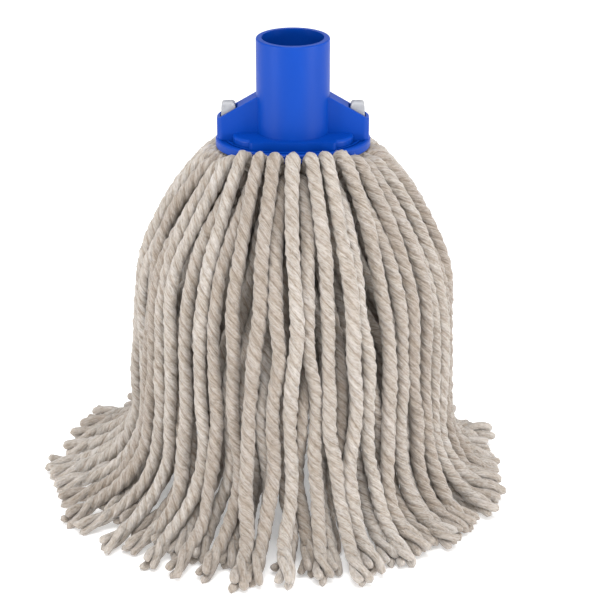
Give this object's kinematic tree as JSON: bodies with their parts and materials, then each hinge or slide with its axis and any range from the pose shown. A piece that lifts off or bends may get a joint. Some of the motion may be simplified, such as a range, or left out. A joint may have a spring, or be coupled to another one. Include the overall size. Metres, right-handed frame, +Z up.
{
  "type": "string mop head",
  "caption": "String mop head: a plastic handle socket with an oval flange and side wings, over a bell of twisted cotton yarn that a push-in clamp holds.",
  "frame": {"origin": "centre of the handle bore at the mouth of the socket; the floor that the yarn stands on is 188 mm below", "axes": "+Z up along the handle, out of the socket; +X through the wings; -Y is the front"},
  "size_m": [0.1879, 0.1915, 0.1878],
  "materials": {
    "blue_plastic": "satin injection-moulded blue polypropylene",
    "natural_nylon": "natural translucent nylon",
    "cotton_yarn": "unbleached twisted cotton twine"
  },
  "bodies": {
    "head": {"socket": "blue_plastic", "yarn_clamp": "natural_nylon", "yarn_bundle": "cotton_yarn", "inner_yarns_1": "cotton_yarn", "inner_yarns_2": "cotton_yarn", "inner_yarns_3": "cotton_yarn", "inner_yarns_4": "cotton_yarn", "inner_yarns_5": "cotton_yarn", "inner_yarns_6": "cotton_yarn"},
    "lock_01": {"outer_yarn_01": "cotton_yarn", "outer_yarn_02": "cotton_yarn", "outer_yarn_03": "cotton_yarn", "outer_yarn_04": "cotton_yarn", "outer_yarn_05": "cotton_yarn"},
    "lock_02": {"outer_yarn_06": "cotton_yarn", "outer_yarn_07": "cotton_yarn", "outer_yarn_08": "cotton_yarn", "outer_yarn_09": "cotton_yarn", "outer_yarn_10": "cotton_yarn"},
    "lock_03": {"outer_yarn_11": "cotton_yarn", "outer_yarn_12": "cotton_yarn", "outer_yarn_13": "cotton_yarn", "outer_yarn_14": "cotton_yarn", "outer_yarn_15": "cotton_yarn"},
    "lock_04": {"outer_yarn_16": "cotton_yarn", "outer_yarn_17": "cotton_yarn", "outer_yarn_18": "cotton_yarn", "outer_yarn_19": "cotton_yarn", "outer_yarn_20": "cotton_yarn"},
    "lock_05": {"outer_yarn_21": "cotton_yarn", "outer_yarn_22": "cotton_yarn", "outer_yarn_23": "cotton_yarn", "outer_yarn_24": "cotton_yarn", "outer_yarn_25": "cotton_yarn"},
    "lock_06": {"outer_yarn_26": "cotton_yarn", "outer_yarn_27": "cotton_yarn", "outer_yarn_28": "cotton_yarn", "outer_yarn_29": "cotton_yarn", "outer_yarn_30": "cotton_yarn"},
    "lock_07": {"outer_yarn_31": "cotton_yarn", "outer_yarn_32": "cotton_yarn", "outer_yarn_33": "cotton_yarn", "outer_yarn_34": "cotton_yarn", "outer_yarn_35": "cotton_yarn"},
    "lock_08": {"outer_yarn_36": "cotton_yarn", "outer_yarn_37": "cotton_yarn", "outer_yarn_38": "cotton_yarn", "outer_yarn_39": "cotton_yarn", "outer_yarn_40": "cotton_yarn"},
    "lock_09": {"outer_yarn_41": "cotton_yarn", "outer_yarn_42": "cotton_yarn", "outer_yarn_43": "cotton_yarn", "outer_yarn_44": "cotton_yarn", "outer_yarn_45": "cotton_yarn"},
    "lock_10": {"outer_yarn_46": "cotton_yarn", "outer_yarn_47": "cotton_yarn", "outer_yarn_48": "cotton_yarn", "outer_yarn_49": "cotton_yarn", "outer_yarn_50": "cotton_yarn"}
  },
  "joints": [
    {"name": "lock_01_swing", "type": "hinge", "parent": "head", "child": "lock_01", "pos_m": [0.02848, 0.00796, -0.047], "axis": [0.309, -0.9511, 0], "range_deg": [0, 30]},
    {"name": "lock_02_swing", "type": "hinge", "parent": "head", "child": "lock_02", "pos_m": [0.01641, 0.01916, -0.047], "axis": [0.809, -0.5878, 0], "range_deg": [0, 30]},
    {"name": "lock_03_swing", "type": "hinge", "parent": "head", "child": "lock_03", "pos_m": [0, 0.02274, -0.047], "axis": [1, 0, 0], "range_deg": [0, 30]},
    {"name": "lock_04_swing", "type": "hinge", "parent": "head", "child": "lock_04", "pos_m": [-0.01641, 0.01916, -0.047], "axis": [0.809, 0.5878, 0], "range_deg": [0, 30]},
    {"name": "lock_05_swing", "type": "hinge", "parent": "head", "child": "lock_05", "pos_m": [-0.02848, 0.00796, -0.047], "axis": [0.309, 0.9511, 0], "range_deg": [0, 30]},
    {"name": "lock_06_swing", "type": "hinge", "parent": "head", "child": "lock_06", "pos_m": [-0.02848, -0.00796, -0.047], "axis": [-0.309, 0.9511, 0], "range_deg": [0, 30]},
    {"name": "lock_07_swing", "type": "hinge", "parent": "head", "child": "lock_07", "pos_m": [-0.01641, -0.01916, -0.047], "axis": [-0.809, 0.5878, 0], "range_deg": [0, 30]},
    {"name": "lock_08_swing", "type": "hinge", "parent": "head", "child": "lock_08", "pos_m": [0, -0.02274, -0.047], "axis": [-1, 0, 0], "range_deg": [0, 30]},
    {"name": "lock_09_swing", "type": "hinge", "parent": "head", "child": "lock_09", "pos_m": [0.01641, -0.01916, -0.047], "axis": [-0.809, -0.5878, 0], "range_deg": [0, 30]},
    {"name": "lock_10_swing", "type": "hinge", "parent": "head", "child": "lock_10", "pos_m": [0.02848, -0.00796, -0.047], "axis": [-0.309, -0.9511, 0], "range_deg": [0, 30]}
  ]
}
